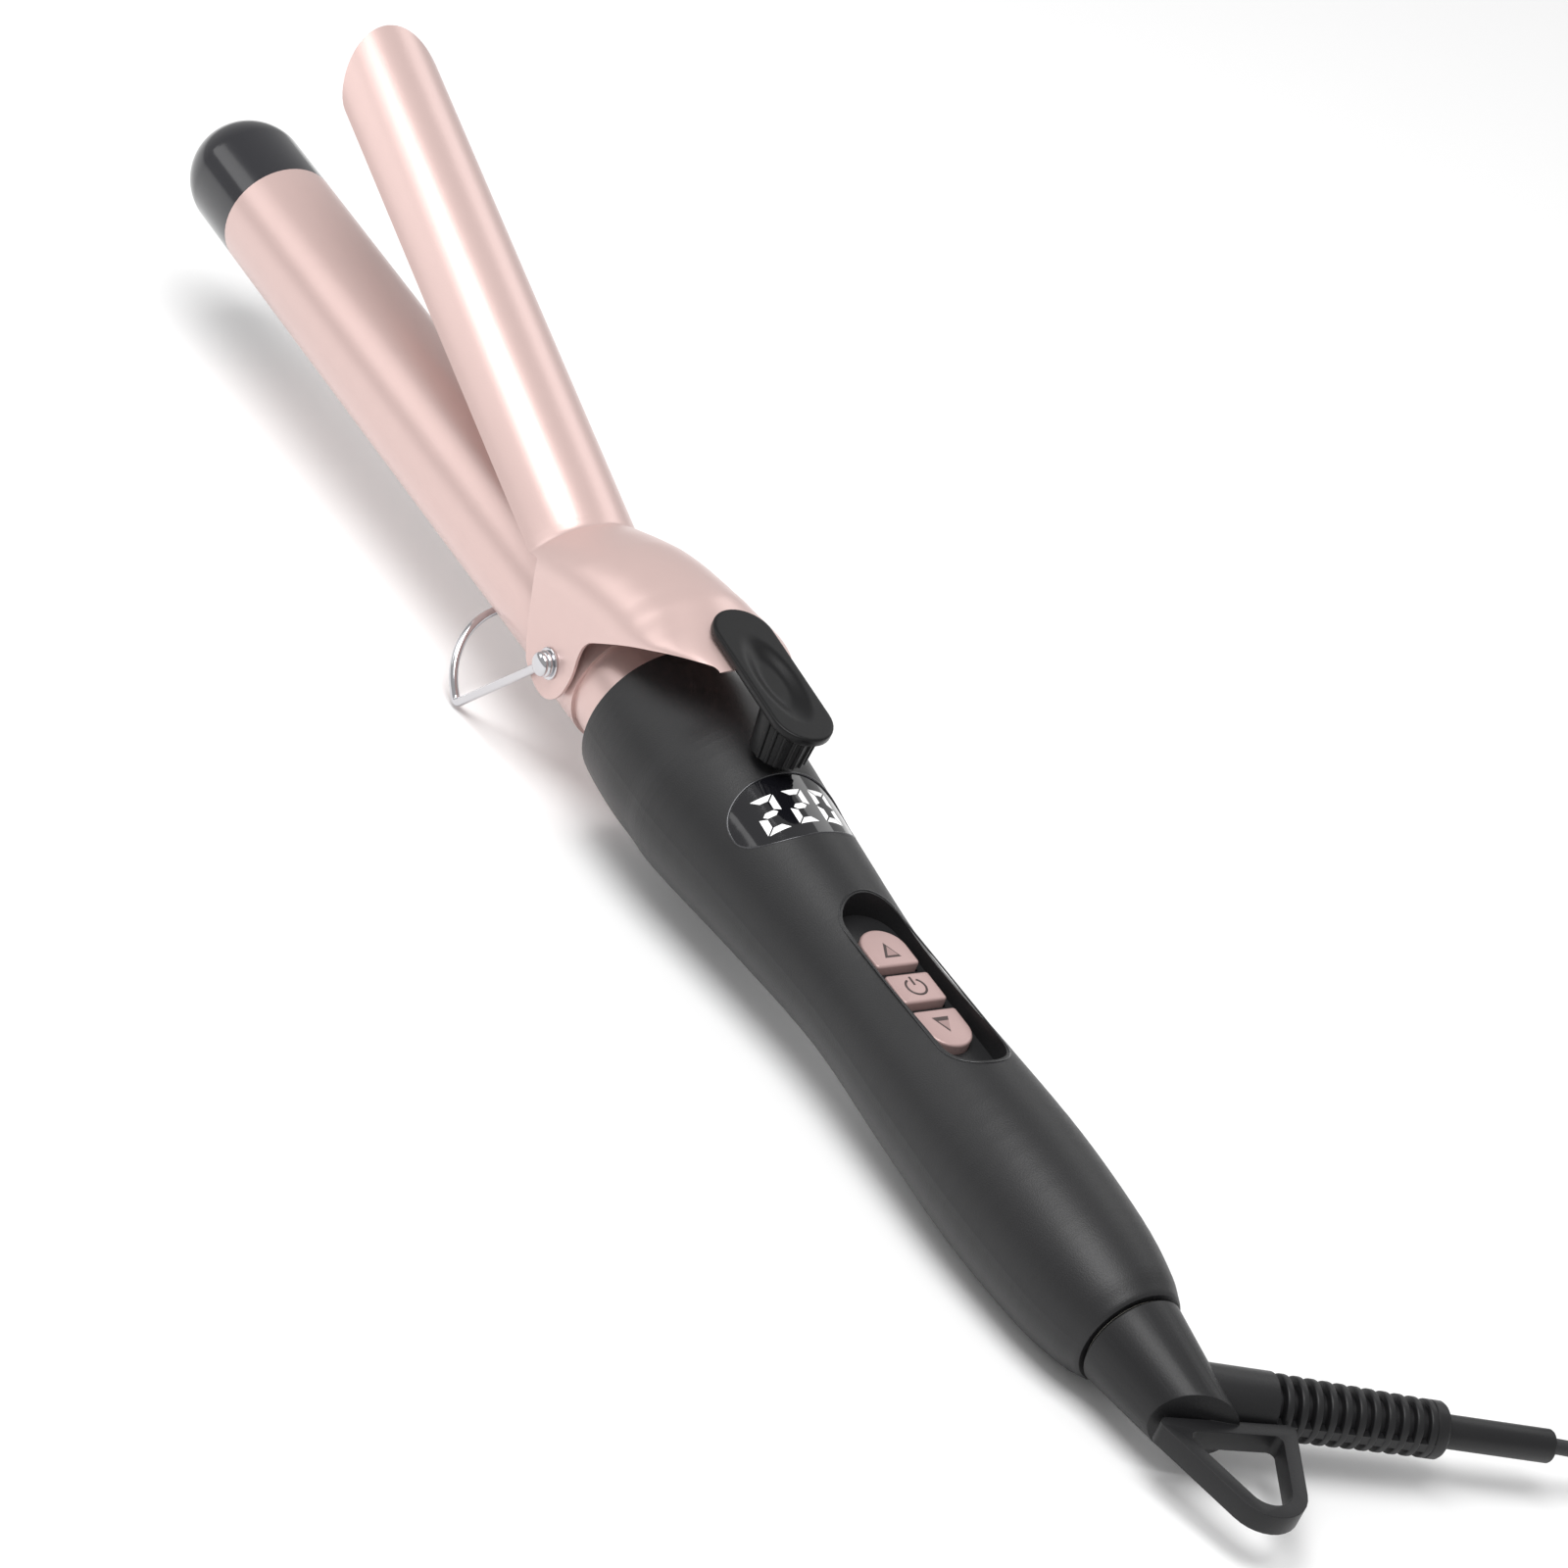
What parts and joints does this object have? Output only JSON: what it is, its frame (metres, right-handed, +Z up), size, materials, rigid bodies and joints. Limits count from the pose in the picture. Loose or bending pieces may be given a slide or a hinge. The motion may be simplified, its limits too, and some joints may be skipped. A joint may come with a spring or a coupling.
{
  "type": "curling iron",
  "caption": "Clamp curling iron with a sprung thumb lever, wire stand, digital display, three buttons, swivel cord and hanging loop.",
  "frame": {"origin": "middle of the underside, on the surface that the iron rests on", "axes": "+Z up, +X along the iron from the cool tip to the swivel, +Y to the side where the cord leaves"},
  "size_m": [0.4123, 0.1814, 0.0916],
  "materials": {
    "rose_metal": "satin",
    "gloss_black": "gloss",
    "chrome": "polished",
    "spring_steel": "satin",
    "phenolic": "matte",
    "aluminium": "satin",
    "ceramic": "matte",
    "brass": "satin",
    "wire_red": "matte",
    "matte_black": "matte",
    "dark_screw": "satin",
    "window_black": "gloss",
    "display_white": "matte",
    "board_green": "satin",
    "nylon": "matte",
    "button_rose": "satin",
    "cord_black": "matte",
    "nickel": "polished"
  },
  "bodies": {
    "iron": {"barrel_tube": "rose_metal", "cool_tip": "gloss_black", "pivot_band": "rose_metal", "pivot_screws": "chrome", "clamp_spring": "spring_steel", "spring_rivet": "spring_steel", "barrel_collar": "phenolic", "heat_spreaders": "aluminium", "ceramic_heater": "ceramic", "thermistor": "brass", "heat_plug": "ceramic", "thermal_fuse": "spring_steel", "heater_leads": "wire_red", "handle_upper": "matte_black", "handle_lower": "matte_black", "handle_screws": "dark_screw", "display_window": "window_black", "display_module": "display_white", "display_board": "board_green", "main_board": "board_green", "tact_switches": "matte_black", "board_components": "matte_black", "swivel_bush": "nylon", "contact_brushes": "brass", "mains_leads": "wire_red"},
    "clamp": {"clamp_shell": "rose_metal", "thumb_pad": "matte_black", "grip_post": "matte_black", "pad_screws": "spring_steel"},
    "stand": {"wire_stand": "chrome"},
    "up_key": {"button_up": "button_rose"},
    "power_key": {"button_power": "button_rose"},
    "down_key": {"button_down": "button_rose"},
    "swivel": {"swivel_body": "matte_black", "retaining_clip": "spring_steel", "contact_rings": "brass", "strain_relief": "cord_black", "cord": "cord_black", "cord_coil": "cord_black", "cord_tie": "cord_black", "plug_body": "cord_black", "plug_pins": "nickel"}
  },
  "joints": [
    {"name": "clamp_hinge", "type": "hinge", "parent": "iron", "child": "clamp", "pos_m": [-0.02331, 0, 0.02517], "axis": [0, 1, 0], "range_deg": [-18.1, 0], "stiffness_Nm_per_rad": 0.25, "springref_deg": -33.23, "deforming": ["clamp_spring"]},
    {"name": "stand_hinge", "type": "hinge", "parent": "iron", "child": "stand", "pos_m": [-0.02331, 0, 0.02517], "axis": [0, -1, 0], "range_deg": [0, 100]},
    {"name": "up_press", "type": "slide", "parent": "iron", "child": "up_key", "axis": [-0.0698, 0, -0.9976], "range_m": [0, 0.0005], "stiffness_N_per_m": 900, "springref_m": -0.0002},
    {"name": "power_press", "type": "slide", "parent": "iron", "child": "power_key", "axis": [-0.0698, 0, -0.9976], "range_m": [0, 0.0005], "stiffness_N_per_m": 900, "springref_m": -0.0002},
    {"name": "down_press", "type": "slide", "parent": "iron", "child": "down_key", "axis": [-0.0698, 0, -0.9976], "range_m": [0, 0.0005], "stiffness_N_per_m": 900, "springref_m": -0.0002},
    {"name": "swivel_spin", "type": "hinge", "parent": "iron", "child": "swivel", "pos_m": [0.15725, 0, 0.01255], "axis": [0.9976, 0, -0.0698], "continuous": true}
  ]
}
